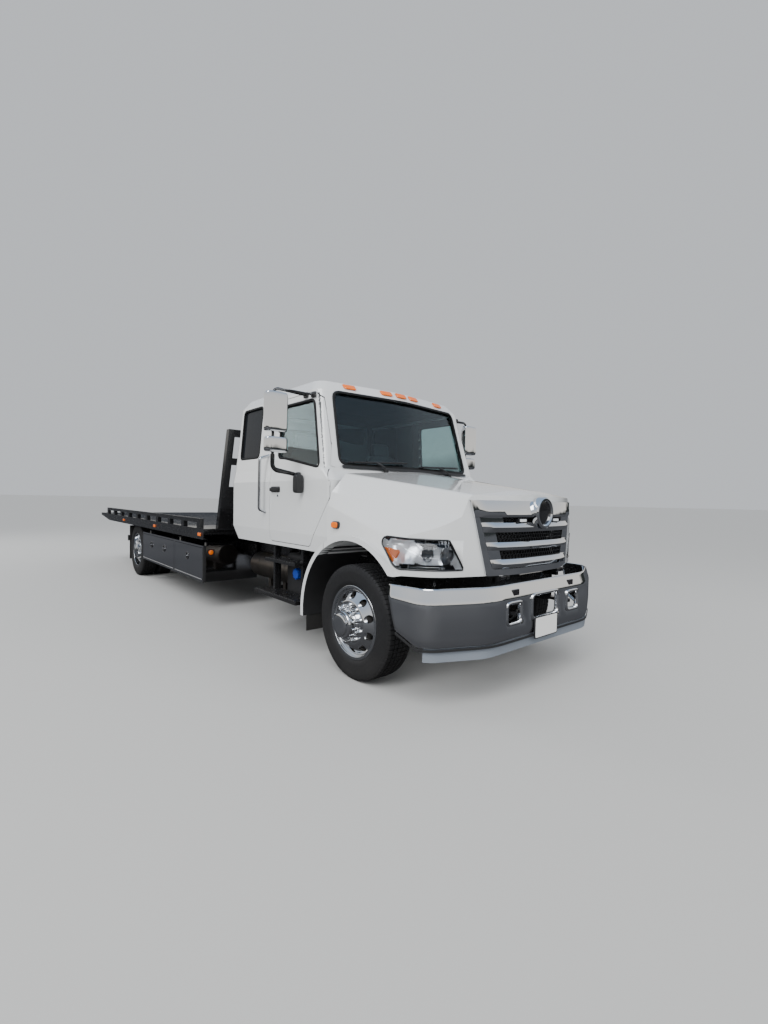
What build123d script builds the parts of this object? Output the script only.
from build123d import *
import math
import os

# Tow truck with an extended cab and a sliding, tilting bed, in millimetres.
# +X points forward, +Y left and +Z up. The origin is on the ground, under the middle of the length.

# Overall layout
WHEELBASE = 6430
FRONT_OVERHANG = 1060
REAR_OVERHANG = 2700
OVERALL_LENGTH = FRONT_OVERHANG + WHEELBASE + REAR_OVERHANG
FRONT_AXLE_X = OVERALL_LENGTH / 2 - FRONT_OVERHANG
REAR_AXLE_X = FRONT_AXLE_X - WHEELBASE
TAIL_X = REAR_AXLE_X - REAR_OVERHANG

# Clearances
RUNNING_GAP = 5
PIN_GAP = 0.3
PANEL_GAP = 6

# Tyres and wheels
TYRE_RADIUS = 464
TYRE_WIDTH = 255
TREAD_WIDTH = 215
SHOULDER_DROP = 22
RIM_RADIUS = 285.7
RIM_FLANGE_RADIUS = 298.5
RIM_WALL = 14
RIM_WIDTH = 232
FLANGE_WIDTH = 12
DISC_THICKNESS = 22
DISC_DISH = 145
DISC_FLAT_RADIUS = 176
HUB_RADIUS = 108
HUB_LENGTH = 78
HUB_CAP_RADIUS = 82
HUB_CAP_LENGTH = 22
HAND_HOLES = 10
HAND_HOLE_RADIUS = 31
HAND_HOLE_CIRCLE = 216
DRUM_RADIUS = 205
DRUM_LENGTH = 150
SPINDLE_RADIUS = 45
FRONT_TRACK = 1950
REAR_OUTER_TRACK = 2100
KINGPIN_OFFSET = 175
KINGPIN_RADIUS = 20
KINGPIN_HALF_HEIGHT = 112
AXLE_END_HALF_HEIGHT = 46
AXLE_WIDTH = 90
AXLE_DROP = 60
AXLE_SEAT_HALF = 560
KNUCKLE_BOSS_RADIUS = 45
KNUCKLE_PLATE_RADIUS = 150
KNUCKLE_PLATE = 20
REAR_TUBE_RADIUS = 70
DIFFERENTIAL_RADIUS = 195
DIFFERENTIAL_WIDTH = 260

front_tyre_y = FRONT_TRACK / 2
rear_outer_y = REAR_OUTER_TRACK / 2
rear_mount_y = rear_outer_y - DISC_DISH
rear_inner_y = rear_mount_y - DISC_DISH
kingpin_y = front_tyre_y - KINGPIN_OFFSET
axle_end_top = TYRE_RADIUS + AXLE_END_HALF_HEIGHT
axle_seat_top = axle_end_top - AXLE_DROP

# Chassis frame
RAIL_TOP = 880
RAIL_HEIGHT = 260
RAIL_OUTER_Y = 430
RAIL_FLANGE = 75
RAIL_WALL = 10
RAIL_NOSE = 860
CROSSMEMBER_LENGTH = 110
CROSSMEMBER_HEIGHT = 120
SPRING_WIDTH = 70
SPRING_THICKNESS = 50
FRONT_SPRING_HALF = 650
REAR_SPRING_HALF = 700
SPRING_EYE = 60
TILT_PIVOT_SETBACK = 1400
TILT_PIVOT_Z = 780
TILT_PIN_RADIUS = 30
TILT_EAR_RADIUS = 58
TILT_EAR_THICKNESS = 30
RAIL_TAIL_GAP = 70
rail_bottom = RAIL_TOP - RAIL_HEIGHT
rail_inner_y = RAIL_OUTER_Y - RAIL_FLANGE
rail_web_inner_y = RAIL_OUTER_Y - RAIL_WALL
rail_front_x = FRONT_AXLE_X + RAIL_NOSE
tilt_pivot_x = REAR_AXLE_X - TILT_PIVOT_SETBACK
rail_rear_x = tilt_pivot_x - RAIL_TAIL_GAP

# Cab
CAB_FRONT_SETBACK = 355
CAB_LENGTH = 2120
CAB_FLOOR_Z = 970
CAB_WALL = 45
CAB_HALF_WIDTH = 1070
BELT_Z = 1620
cab_front_x = FRONT_AXLE_X - CAB_FRONT_SETBACK
cab_rear_x = cab_front_x - CAB_LENGTH

# Each row: height, front setback, rear inset, narrowing per side, front bow, front and rear corner radius
CAB_ROWS = [
    (CAB_FLOOR_Z, 0, 130, 20, 15, 50, 60),
    (1120, 0, 5, 0, 15, 50, 80),
    (BELT_Z, 0, 0, 0, 15, 60, 80),
    (1740, 65, 0, 20, 110, 90, 90),
    (2480, 265, 50, 80, 120, 110, 100),
    (2580, 345, 110, 150, 120, 120, 110),
    (2640, 560, 270, 330, 120, 120, 110),
]

# Bed
BED_HALF_WIDTH = 1270
BED_FLOOR_Z = 1050
BED_FLOOR_THICKNESS = 20
CAB_TO_BED = 365
BED_CHANNEL_BOTTOM = 917
bed_front_x = cab_rear_x - CAB_TO_BED


def box(x_range, y_range, z_range):
    """An upright block between two limits on each axis."""
    sizes = [abs(limits[1] - limits[0]) for limits in (x_range, y_range, z_range)]
    middle = [(limits[0] + limits[1]) / 2 for limits in (x_range, y_range, z_range)]
    return Pos(*middle) * Box(*sizes)


def rod_y(x, z, radius, y_range):
    """A round bar along Y."""
    length = y_range[1] - y_range[0]
    middle = (y_range[0] + y_range[1]) / 2
    return Pos(x, middle, z) * Rot(90, 0, 0) * Cylinder(radius, length)


def rod_x(y, z, radius, x_range):
    """A round bar along X."""
    length = x_range[1] - x_range[0]
    middle = (x_range[0] + x_range[1]) / 2
    return Pos(middle, y, z) * Rot(0, 90, 0) * Cylinder(radius, length)


def rod_z(x, y, radius, z_range):
    """A round bar along Z."""
    length = z_range[1] - z_range[0]
    middle = (z_range[0] + z_range[1]) / 2
    return Pos(x, y, middle) * Cylinder(radius, length)


def side_prism(points, y_range, radii=0):
    """A prism along Y whose side view is the closed outline of (x, z) points."""
    outline = FilletPolyline(*[(x, y_range[0], z) for x, z in points], radius=radii, close=True)
    return extrude(make_face(outline), amount=y_range[1] - y_range[0], dir=(0, 1, 0))


def front_prism(points, x_range, radii=0):
    """A prism along X whose front view is the closed outline of (y, z) points."""
    outline = FilletPolyline(*[(x_range[0], y, z) for y, z in points], radius=radii, close=True)
    return extrude(make_face(outline), amount=x_range[1] - x_range[0], dir=(1, 0, 0))


def plan_face(points, z, radii=0):
    """A level face at height z whose outline is the closed list of (x, y) points."""
    outline = FilletPolyline(*[(x, y, z) for x, y in points], radius=radii, close=True)
    return make_face(outline)


def tube_path(points, bend, radius):
    """A round bar bent through a list of points."""
    path = FilletPolyline(*points, radius=bend)
    return sweep(Plane(origin=path @ 0, z_dir=path % 0) * Circle(radius), path=path)


def group(solids):
    """One solid as it is, or several that don't touch as one group."""
    solids = list(solids)
    return solids[0] if len(solids) == 1 else Compound(children=solids)


def to_left(shape):
    """The mirror image of a right-hand shape on the left-hand side."""
    return group(solid.mirror(Plane.XZ) for solid in shape.solids())


def both_sides(shape):
    """A right-hand shape and its mirror image, which don't touch."""
    return group([*shape.solids(), *to_left(shape).solids()])


# Wheels, modelled with their middle plane at y = 0 and their outer face toward +Y

def spin(points, radii):
    """A ring turned about the Y axis from an outline of (y, radius) points."""
    outline = FilletPolyline(*[(0, y, r) for y, r in points], radius=radii, close=True)
    return revolve(make_face(outline), axis=Axis.Y, revolution_arc=360)


def tyre():
    """One tyre, with a flat tread, rounded shoulders and bulged sidewalls."""
    half_tread = TREAD_WIDTH / 2
    half_width = TYRE_WIDTH / 2
    bead_half = RIM_WIDTH / 2 - FLANGE_WIDTH - PIN_GAP
    bead_radius = RIM_RADIUS + PIN_GAP
    shoulder_radius = TYRE_RADIUS - SHOULDER_DROP
    half = [
        (bead_half, bead_radius),
        (bead_half, RIM_FLANGE_RADIUS + PIN_GAP),
        (half_width, (RIM_FLANGE_RADIUS + TYRE_RADIUS) / 2),
        (half_width - 8, shoulder_radius),
        (half_tread, TYRE_RADIUS),
    ]
    points = half + [(-y, r) for y, r in reversed(half)]
    half_radii = [0, 0, 60, 18, 10]
    return spin(points, half_radii + half_radii[::-1])


def rim_and_disc():
    """A wheel: the rim, and the dished disc with its hand holes and hub hole."""
    edge = RIM_WIDTH / 2
    seat = edge - FLANGE_WIDTH
    inner = RIM_RADIUS - RIM_WALL
    disc_back = DISC_DISH - DISC_THICKNESS
    points = [
        (-edge, RIM_FLANGE_RADIUS),
        (-seat, RIM_FLANGE_RADIUS),
        (-seat, RIM_RADIUS),
        (seat, RIM_RADIUS),
        (seat, RIM_FLANGE_RADIUS),
        (edge, RIM_FLANGE_RADIUS),
        (edge, inner),
        (edge * 0.62, inner),
        (DISC_DISH, DISC_FLAT_RADIUS),
        (DISC_DISH, HUB_RADIUS),
        (disc_back, HUB_RADIUS),
        (disc_back, DISC_FLAT_RADIUS - 12),
        (edge * 0.30, inner),
        (-edge, inner),
    ]
    radii = [5, 0, 0, 0, 0, 5, 5, 12, 22, 0, 0, 22, 8, 5]
    wheel = spin(points, radii)
    hole = rod_y(0, HAND_HOLE_CIRCLE, HAND_HOLE_RADIUS, (0, DISC_DISH + DISC_THICKNESS))
    for index in range(HAND_HOLES):
        wheel -= Rot(0, index * 360 / HAND_HOLES, 0) * hole
    return wheel


def hub(front_face, drum_length):
    """The hub, its cap and its brake drum, for a disc whose outer face is at front_face."""
    back = front_face - DISC_THICKNESS
    shape = rod_y(0, 0, HUB_RADIUS, (back, front_face + HUB_LENGTH))
    shape = fillet(shape.edges().group_by(Axis.Y)[-1], 14)
    cap_start = front_face + HUB_LENGTH
    cap = rod_y(0, 0, HUB_CAP_RADIUS, (cap_start, cap_start + HUB_CAP_LENGTH))
    shape += fillet(cap.edges().group_by(Axis.Y)[-1], 10)
    shape += rod_y(0, 0, DRUM_RADIUS, (back - drum_length, back))
    bore_end = front_face + HUB_LENGTH / 2
    return shape - rod_y(0, 0, SPINDLE_RADIUS + PIN_GAP, (back - drum_length, bore_end))


def at_wheel(shape, axle_x, y):
    """A left-hand wheel shape moved to its place on an axle."""
    return Pos(axle_x, y, TYRE_RADIUS) * shape


# Chassis

def c_rail():
    """The right-hand frame rail, a channel that opens inward."""
    rail = box((rail_rear_x, rail_front_x), (-RAIL_OUTER_Y, -rail_inner_y), (rail_bottom, RAIL_TOP))
    hollow_y = (-rail_web_inner_y, -rail_inner_y)
    hollow_z = (rail_bottom + RAIL_WALL, RAIL_TOP - RAIL_WALL)
    return rail - box((rail_rear_x, rail_front_x), hollow_y, hollow_z)


TANK_INNER_Y = 470
TANK_OUTER_Y = 900
TANK_TOP = 880
TANK_BOTTOM = 400
HANGER_THICKNESS = 40
HANGER_WIDTH = 60
CAB_MOUNT_INSET = 260
CAB_MOUNT_SIZE = 75
BOX_TOP_Z = 830
BOX_BOTTOM_Z = 370
BOX_OUTER_Y = 1225
BOX_INNER_Y = 500
BOX_LENGTH = 2850
BOX_TYRE_GAP = 166
BOX_WALL = 5
BOX_DOOR_THICKNESS = 20
BOX_SPLIT = 1150
BOX_ARM_HEIGHT = 32
BOX_ARM_WIDTH = 60
CYLINDER_PIN_AHEAD = 1000
CYLINDER_PIN_Z = 660
CYLINDER_PIN_RADIUS = 40
HOOD_PIN_AHEAD = 930
HOOD_PIN_Z = 895
HOOD_PIN_RADIUS = 14
HOOD_LUG_THICKNESS = 35
HOOD_LUG_RADIUS = 22
HOOD_BOSS_RADIUS = 26
HOOK_LENGTH = 190
HOOK_THICKNESS = 25
HOOK_ROOT = 80
HOOK_CORNER = 30
HOOK_EYE_RADIUS = 20
HOOK_EYE_SETBACK = 63
FLAP_THICKNESS = 12
REAR_FLAP_SETBACK = 520
FLAP_ROD_RADIUS = 14
FLAP_ROD_Z = 862

box_rear_x = REAR_AXLE_X + TYRE_RADIUS + BOX_TYRE_GAP
box_front_x = box_rear_x + BOX_LENGTH
cylinder_pin_x = tilt_pivot_x + CYLINDER_PIN_AHEAD
hood_pin_x = FRONT_AXLE_X + HOOD_PIN_AHEAD
hook_y = (RAIL_OUTER_Y + rail_inner_y) / 2
rear_flap_x = REAR_AXLE_X - REAR_FLAP_SETBACK
tyre_inner_y = rear_inner_y - TYRE_WIDTH / 2
tyre_outer_y = rear_outer_y + TYRE_WIDTH / 2
tank_front_x = cab_front_x - 600
hanger_x = [tank_front_x - setback for setback in (120, 400, 780, 1130)]


def frame_rails():
    """Both rails with their crossmembers, pins and hood lugs."""
    frame = c_rail() + to_left(c_rail())
    member_z = (RAIL_TOP - RAIL_WALL - CROSSMEMBER_HEIGHT, RAIL_TOP - RAIL_WALL)
    member_x = [
        rail_front_x - 60,
        cab_rear_x - 200,
        box_front_x - 900,
        REAR_AXLE_X + 1150,
        REAR_AXLE_X - 520,
        rail_rear_x + 160,
    ]
    for x in member_x:
        x_range = (x - CROSSMEMBER_LENGTH / 2, x + CROSSMEMBER_LENGTH / 2)
        frame += box(x_range, (-rail_web_inner_y, rail_web_inner_y), member_z)
    web_to_web = (-rail_web_inner_y, rail_web_inner_y)
    frame += rod_y(cylinder_pin_x, CYLINDER_PIN_Z, CYLINDER_PIN_RADIUS, web_to_web)
    pin_half = RAIL_OUTER_Y + 2 * RUNNING_GAP + RUNNING_GAP + TILT_EAR_THICKNESS + 15
    frame += rod_y(tilt_pivot_x, TILT_PIVOT_Z, TILT_PIN_RADIUS, (-pin_half, pin_half))
    lug = hood_lug()
    return frame + lug + to_left(lug)


def hood_lug():
    """The right-hand lug for the hood's hinge, with its pin."""
    lug_y = (-hook_y - HOOD_LUG_THICKNESS / 2, -hook_y + HOOD_LUG_THICKNESS / 2)
    lug_z = (RAIL_TOP - 40, HOOD_PIN_Z)
    lug = box((rail_front_x - 60, hood_pin_x), lug_y, lug_z)
    lug += rod_y(hood_pin_x, HOOD_PIN_Z, HOOD_LUG_RADIUS, lug_y)
    pin_reach = HOOD_LUG_THICKNESS * 1.5 + RUNNING_GAP + 4
    return lug + rod_y(hood_pin_x, HOOD_PIN_Z, HOOD_PIN_RADIUS, (-hook_y - pin_reach, -hook_y + pin_reach))


def tow_hooks():
    """The flat hooks in the rails' front ends, each with an upright eye."""
    hook_end = rail_front_x + HOOK_LENGTH
    plate_z = (rail_bottom + RAIL_WALL, rail_bottom + RAIL_WALL + HOOK_THICKNESS)
    hook = box((rail_front_x - HOOK_ROOT, hook_end), (-rail_web_inner_y, -rail_inner_y), plate_z)
    hook = fillet(hook.edges().filter_by(Axis.Z).group_by(Axis.X)[-1], HOOK_CORNER)
    eye_y = -(rail_web_inner_y + rail_inner_y) / 2
    hook -= rod_z(hook_end - HOOK_EYE_SETBACK, eye_y, HOOK_EYE_RADIUS, plate_z)
    return both_sides(hook)


def frame_hangers():
    """What the rails carry on their outsides and tops: tank hangers, box arms, flap rods and cab mounts."""
    parts = []
    hanger_bottom = TANK_BOTTOM - HANGER_THICKNESS
    for x in hanger_x:
        x_range = (x - HANGER_WIDTH / 2, x + HANGER_WIDTH / 2)
        upright = box(x_range, (-TANK_INNER_Y, -RAIL_OUTER_Y), (hanger_bottom, TANK_TOP - HANGER_THICKNESS))
        parts.append(upright + box(x_range, (-TANK_OUTER_Y, -RAIL_OUTER_Y), (hanger_bottom, TANK_BOTTOM)))
    for x in (cab_front_x - CAB_MOUNT_INSET, cab_rear_x + CAB_MOUNT_INSET):
        x_range = (x - CAB_MOUNT_SIZE / 2, x + CAB_MOUNT_SIZE / 2)
        y_range = (-hook_y - CAB_MOUNT_SIZE / 2, -hook_y + CAB_MOUNT_SIZE / 2)
        parts.append(box(x_range, y_range, (RAIL_TOP, CAB_FLOOR_Z)))
    arm_z = (BOX_TOP_Z, BOX_TOP_Z + BOX_ARM_HEIGHT)
    for x in (box_front_x - 150, box_front_x - BOX_SPLIT, box_rear_x + 150):
        x_range = (x - BOX_ARM_WIDTH / 2, x + BOX_ARM_WIDTH / 2)
        parts.append(box(x_range, (-BOX_OUTER_Y + 80, -RAIL_OUTER_Y), arm_z))
    parts.append(rod_y(rear_flap_x, FLAP_ROD_Z, FLAP_ROD_RADIUS, (-tyre_outer_y, -RAIL_OUTER_Y)))
    return both_sides(group(parts))


def leaf_spring(axle_x, half_length, seat_z):
    """One right-hand leaf spring, from its seat on the axle up to its eyes under the rail."""
    y_range = (-hook_y - SPRING_WIDTH / 2, -hook_y + SPRING_WIDTH / 2)
    tip_z = rail_bottom - SPRING_THICKNESS
    lower = ThreePointArc(
        (axle_x - half_length, y_range[0], tip_z),
        (axle_x, y_range[0], seat_z),
        (axle_x + half_length, y_range[0], tip_z),
    )
    upper = ThreePointArc(
        (axle_x + half_length, y_range[0], rail_bottom),
        (axle_x, y_range[0], seat_z + SPRING_THICKNESS),
        (axle_x - half_length, y_range[0], rail_bottom),
    )
    rear_end = Line(upper @ 1, lower @ 0)
    front_end = Line(lower @ 1, upper @ 0)
    face = make_face([lower, front_end, upper, rear_end])
    spring = extrude(face, amount=SPRING_WIDTH, dir=(0, 1, 0))
    for end in (-1, 1):
        eye_x = axle_x + end * half_length
        spring += box((eye_x - SPRING_EYE / 2, eye_x + SPRING_EYE / 2), y_range, (tip_z, rail_bottom))
    return spring


def front_axle_beam():
    """The dropped front beam with its kingpins."""
    end_bottom = TYRE_RADIUS - AXLE_END_HALF_HEIGHT
    top = [
        (kingpin_y, axle_end_top),
        (kingpin_y - 110, axle_end_top),
        (AXLE_SEAT_HALF, axle_seat_top),
    ]
    bottom = [
        (AXLE_SEAT_HALF - 10, end_bottom - AXLE_DROP),
        (kingpin_y - 110, end_bottom),
        (kingpin_y, end_bottom),
    ]
    right = top + [(-y, z) for y, z in reversed(top)]
    left = [(-y, z) for y, z in reversed(bottom)] + bottom
    x_range = (FRONT_AXLE_X - AXLE_WIDTH / 2, FRONT_AXLE_X + AXLE_WIDTH / 2)
    beam = front_prism(right + left, x_range)
    pin_z = (TYRE_RADIUS - KINGPIN_HALF_HEIGHT, TYRE_RADIUS + KINGPIN_HALF_HEIGHT)
    for y in (-kingpin_y, kingpin_y):
        beam += rod_z(FRONT_AXLE_X, y, KNUCKLE_BOSS_RADIUS, (end_bottom, axle_end_top))
        beam += rod_z(FRONT_AXLE_X, y, KINGPIN_RADIUS, pin_z)
    return beam


def knuckle():
    """The left steering knuckle: a fork round the beam end, a plate and the wheel spindle."""
    drum_back = front_tyre_y + DISC_DISH - DISC_THICKNESS - DRUM_LENGTH
    plate_y = (drum_back - 2 * RUNNING_GAP - KNUCKLE_PLATE, drum_back - 2 * RUNNING_GAP)
    web_y = (kingpin_y + KNUCKLE_BOSS_RADIUS + 2 * RUNNING_GAP, plate_y[0])
    half = KINGPIN_HALF_HEIGHT - 2
    lug_bottom = AXLE_END_HALF_HEIGHT + RUNNING_GAP + 3
    shape = box((-55, 55), web_y, (-half, half))
    for z_range in ((lug_bottom, half), (-half, -lug_bottom)):
        shape += rod_z(0, kingpin_y, KNUCKLE_BOSS_RADIUS, z_range)
        shape += box((-KNUCKLE_BOSS_RADIUS, KNUCKLE_BOSS_RADIUS), (kingpin_y, web_y[1]), z_range)
        shape -= rod_z(0, kingpin_y, KINGPIN_RADIUS + PIN_GAP, z_range)
    shape += rod_y(0, 0, KNUCKLE_PLATE_RADIUS, plate_y)
    spindle_end = front_tyre_y + DISC_DISH + HUB_LENGTH / 2 - RUNNING_GAP
    shape += rod_y(0, 0, SPINDLE_RADIUS, (plate_y[0], spindle_end))
    return Pos(FRONT_AXLE_X, 0, TYRE_RADIUS) * shape


def rear_axle_housing():
    """The driven rear axle: tubes, differential and the spindles in the hubs."""
    drum_back = rear_mount_y - DISC_THICKNESS - DRUM_LENGTH
    tube_end = drum_back - 2 * RUNNING_GAP
    spindle_end = rear_mount_y + HUB_LENGTH / 2 - RUNNING_GAP
    half = DIFFERENTIAL_WIDTH / 2
    shape = rod_y(0, 0, REAR_TUBE_RADIUS, (-tube_end, tube_end))
    shape += rod_y(0, 0, SPINDLE_RADIUS, (-spindle_end, spindle_end))
    casing = rod_y(0, 0, DIFFERENTIAL_RADIUS, (-half, half))
    shape += fillet(casing.edges().filter_by(GeomType.CIRCLE), 60)
    shape += rod_x(0, DRIVE_SHAFT_Z - TYRE_RADIUS, 75, (0, DIFFERENTIAL_NOSE))
    return Pos(REAR_AXLE_X, 0, TYRE_RADIUS) * shape


DRIVE_SHAFT_Z = 560
DRIVE_SHAFT_RADIUS = 50
DIFFERENTIAL_NOSE = 350
ENGINE_AHEAD = 620
ENGINE_CLEAR = 75
ENGINE_HALF_WIDTH = 300
ENGINE_BOTTOM_Z = 560
ENGINE_TOP_Z = 1280
GEARBOX_LENGTH = 970
GEARBOX_HALF_WIDTH = 200
GEARBOX_TOP_Z = 860
GEARBOX_BOTTOM_Z = 470
engine_rear_x = cab_front_x + ENGINE_CLEAR
gearbox_rear_x = engine_rear_x - GEARBOX_LENGTH


def engine_block():
    """Engine and gearbox as one plain mass on its mounts between the rails."""
    engine_x = (engine_rear_x, FRONT_AXLE_X + ENGINE_AHEAD)
    side = (-ENGINE_HALF_WIDTH, ENGINE_HALF_WIDTH)
    block = box(engine_x, side, (ENGINE_BOTTOM_Z, ENGINE_TOP_Z))
    gearbox_side = (-GEARBOX_HALF_WIDTH, GEARBOX_HALF_WIDTH)
    block += box((gearbox_rear_x, engine_rear_x), gearbox_side, (GEARBOX_BOTTOM_Z, GEARBOX_TOP_Z))
    mount_z = (rail_bottom + 40, rail_bottom + 100)
    for x in (FRONT_AXLE_X + 350, FRONT_AXLE_X - 120):
        block += box((x - 50, x + 50), (-rail_web_inner_y, rail_web_inner_y), mount_z)
    return block


def drive_shaft():
    """The shaft from the gearbox to the rear axle."""
    x_range = (REAR_AXLE_X + DIFFERENTIAL_NOSE, gearbox_rear_x)
    return rod_x(0, DRIVE_SHAFT_Z, DRIVE_SHAFT_RADIUS, x_range)


# Front bumper and what hangs on it
BUMPER_TOP_Z = 860
BUMPER_BOTTOM_Z = 450
BUMPER_HALF_WIDTH = 1190
BUMPER_END_AHEAD = 520
BUMPER_WALL = 8
BUMPER_FLANGE = 35
BUMPER_END_RISE = 90
DAM_BOTTOM_Z = 365
DAM_INSET = 28
DAM_WALL = 14
BRACKET_BOTTOM_Z = 700
HOOK_HOLE_WIDTH = 120
HOOK_HOLE_Z = (565, 695)
CENTRE_HOLE_WIDTH = 330
CENTRE_HOLE_HEIGHT = 150
CENTRE_HOLE_Z = 672


def bumper_plan(inset, z):
    """The bumper's outline from above, drawn inward by the inset, at height z."""
    front = FRONT_AXLE_X + FRONT_OVERHANG
    rear = FRONT_AXLE_X + BUMPER_END_AHEAD
    points = [
        (rear, -BUMPER_HALF_WIDTH),
        (rear + 330, -BUMPER_HALF_WIDTH + 35),
        (front, -700),
        (front, 700),
        (rear + 330, BUMPER_HALF_WIDTH - 35),
        (rear, BUMPER_HALF_WIDTH),
    ]
    face = plan_face(points, z, [0, 220, 420, 420, 220, 0])
    return offset(face, amount=-inset) if inset else face


def bumper_ring(outer, inner, z_range):
    """A strip that follows the bumper's outline between two insets."""
    height = z_range[1] - z_range[0]
    ring = extrude(bumper_plan(outer, z_range[0]), amount=height, dir=(0, 0, 1))
    ring -= extrude(bumper_plan(inner, z_range[0]), amount=height, dir=(0, 0, 1))
    rear = FRONT_AXLE_X + BUMPER_END_AHEAD
    return ring - box((rear - 10, rear + inner + 2), (-BUMPER_HALF_WIDTH + inner, BUMPER_HALF_WIDTH - inner), z_range)


def front_bumper():
    """The swept bumper: a wall with turned flanges, its brackets and its holes."""
    bumper = bumper_ring(0, BUMPER_WALL, (BUMPER_BOTTOM_Z, BUMPER_TOP_Z))
    bumper += bumper_ring(0, BUMPER_FLANGE, (BUMPER_TOP_Z - BUMPER_WALL, BUMPER_TOP_Z))
    bumper += bumper_ring(0, BUMPER_FLANGE, (BUMPER_BOTTOM_Z, BUMPER_BOTTOM_Z + BUMPER_WALL))
    front = FRONT_AXLE_X + FRONT_OVERHANG
    rear = FRONT_AXLE_X + BUMPER_END_AHEAD
    rise = [
        (rear - 10, BUMPER_BOTTOM_Z - 10),
        (front - 250, BUMPER_BOTTOM_Z - 10),
        (rear - 10, BUMPER_BOTTOM_Z + BUMPER_END_RISE),
    ]
    bumper -= side_prism(rise, (-BUMPER_HALF_WIDTH - 10, BUMPER_HALF_WIDTH + 10))
    bracket_y = (-RAIL_OUTER_Y, -rail_inner_y)
    bracket = box((rail_front_x, front - BUMPER_WALL / 2), bracket_y, (BRACKET_BOTTOM_Z, RAIL_TOP - 55))
    bumper += bracket + to_left(bracket)
    hook_hole = box(
        (front - 200, front + 10),
        (-hook_y - HOOK_HOLE_WIDTH / 2, -hook_y + HOOK_HOLE_WIDTH / 2),
        HOOK_HOLE_Z,
    )
    hook_hole = fillet(hook_hole.edges().filter_by(Axis.X), 25)
    centre_hole = box(
        (front - 200, front + 10),
        (-CENTRE_HOLE_WIDTH / 2, CENTRE_HOLE_WIDTH / 2),
        (CENTRE_HOLE_Z - CENTRE_HOLE_HEIGHT / 2, CENTRE_HOLE_Z + CENTRE_HOLE_HEIGHT / 2),
    )
    centre_hole = fillet(centre_hole.edges().filter_by(Axis.X), 40)
    return bumper - hook_hole - to_left(hook_hole) - centre_hole


def air_dam():
    """The strip below the bumper."""
    dam = bumper_ring(DAM_INSET, DAM_INSET + DAM_WALL, (DAM_BOTTOM_Z, BUMPER_BOTTOM_Z))
    rear = FRONT_AXLE_X + BUMPER_END_AHEAD
    front = FRONT_AXLE_X + FRONT_OVERHANG
    behind = box((rear - 20, front - 250), (-BUMPER_HALF_WIDTH, BUMPER_HALF_WIDTH), (DAM_BOTTOM_Z, BUMPER_BOTTOM_Z))
    return dam - behind


# Hood with its fenders
HOOD_BOTTOM_Z = 910
HOOD_WALL = 8
HOOD_REAR_GAP = 15
ARCH_RADIUS = 660
ARCH_LIP = 42
ARCH_LIP_OUT = 22
NOSE_AHEAD = 970
GRILLE_OUT = 12
GRILLE_FRAME = 48
GRILLE_TOP_Z = 1465
GRILLE_TOP_HALF = 690
GRILLE_BOTTOM_HALF = 560
GRILLE_BARS_Z = (981, 1122, 1285)
GRILLE_BAR_HEIGHT = 34
MESH_DEPTH = 10
MESH_WALL = 5
LAMP_DEPTH = 60
hood_rear_x = cab_front_x + HOOD_REAR_GAP

# Each row: distance ahead of the front axle, then half width and height of the fender's side,
# its shoulder, the valley beside the bonnet and the bonnet's edge, and the height of the crown
HOOD_ROWS = [
    (-340, 1130, 1110, 1400, 1085, 1506, 930, 1680, 1740),
    (300, 1130, 1085, 1220, 930, 1415, 780, 1585, 1640),
    (860, 1130, 1010, 1180, 735, 1340, 690, 1500, 1565),
    (985, 1130, 1000, 1170, 720, 1320, 670, 1465, 1530),
]
HOOD_RADII = [0, 60, 40, 60, 2600, 60, 40, 60, 0]


def hood_section(row, inset, rear_extra):
    """One cross-section of the hood's form, drawn inward by the inset."""
    ahead, side_y, shoulder_y, shoulder_z, valley_y, valley_z, edge_y, edge_z, crown_z = row
    x = FRONT_AXLE_X + ahead - rear_extra
    bottom = HOOD_BOTTOM_Z - 2 * abs(inset)
    half = [
        (side_y - inset, bottom),
        (shoulder_y - inset, shoulder_z - inset),
        (valley_y - inset, valley_z - inset),
        (edge_y - inset, edge_z - inset),
    ]
    outline = half + [(0, crown_z - inset)] + [(-y, z) for y, z in reversed(half)]
    return make_face(FilletPolyline(*[(x, y, z) for y, z in outline], radius=HOOD_RADII, close=True))


def hood_form(inset):
    """The solid form of hood and fenders, drawn inward by the inset."""
    sections = []
    for index, row in enumerate(HOOD_ROWS):
        rear_extra = 2 * abs(inset) if index == 0 else 0
        sections.append(hood_section(row, inset, rear_extra))
    body = loft(sections, ruled=True)
    nose = FRONT_AXLE_X + NOSE_AHEAD
    rear = hood_rear_x - 2 * abs(inset) - 20
    half_plan = [
        (rear, 1200),
        (FRONT_AXLE_X + 360, 1200),
        (nose - 210, 920),
        (nose, 350),
    ]
    points = half_plan + [(x, -y) for x, y in reversed(half_plan)]
    plan = plan_face(points, HOOD_BOTTOM_Z - 300, [0, 380, 380, 1150, 1150, 380, 380, 0])
    if inset:
        plan = offset(plan, amount=-inset)
    return body & extrude(plan, amount=1500, dir=(0, 0, 1))


def grille_opening(margin):
    """The prism of the grille's tapered outline, drawn inward by the margin."""
    points = [
        (GRILLE_BOTTOM_HALF - margin, HOOD_BOTTOM_Z + margin),
        (GRILLE_TOP_HALF - margin, GRILLE_TOP_Z - margin),
        (-GRILLE_TOP_HALF + margin, GRILLE_TOP_Z - margin),
        (-GRILLE_BOTTOM_HALF + margin, HOOD_BOTTOM_Z + margin),
    ]
    return front_prism(points, (FRONT_AXLE_X + 600, FRONT_AXLE_X + FRONT_OVERHANG), 30)


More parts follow.
